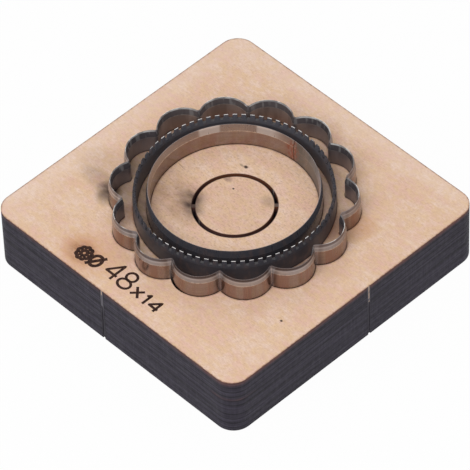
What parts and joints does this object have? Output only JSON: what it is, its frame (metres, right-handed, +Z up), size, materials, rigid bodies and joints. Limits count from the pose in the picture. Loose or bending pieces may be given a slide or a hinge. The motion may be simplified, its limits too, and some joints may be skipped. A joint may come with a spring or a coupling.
{
  "type": "steel rule die",
  "caption": "Square plywood die with a scalloped knife, a toothed stitch rule and a round knife standing edge up in laser-cut slots, to cut and prick a scalloped badge in a press.",
  "frame": {"origin": "centre of the board's underside, which is also the foot of the rules", "axes": "+Z up from the board to the cutting edges, +X and +Y along the board's sides"},
  "size_m": [0.0826, 0.0826, 0.0236],
  "materials": {
    "plywood": "sanded pale face, sides charred black by the laser",
    "rule_steel": "rolled bright strip, ground bevels"
  },
  "bodies": {
    "root": {"base_board": "plywood", "scallop_knife": "rule_steel", "stitch_rule": "rule_steel", "round_knife": "rule_steel"}
  },
  "joints": []
}
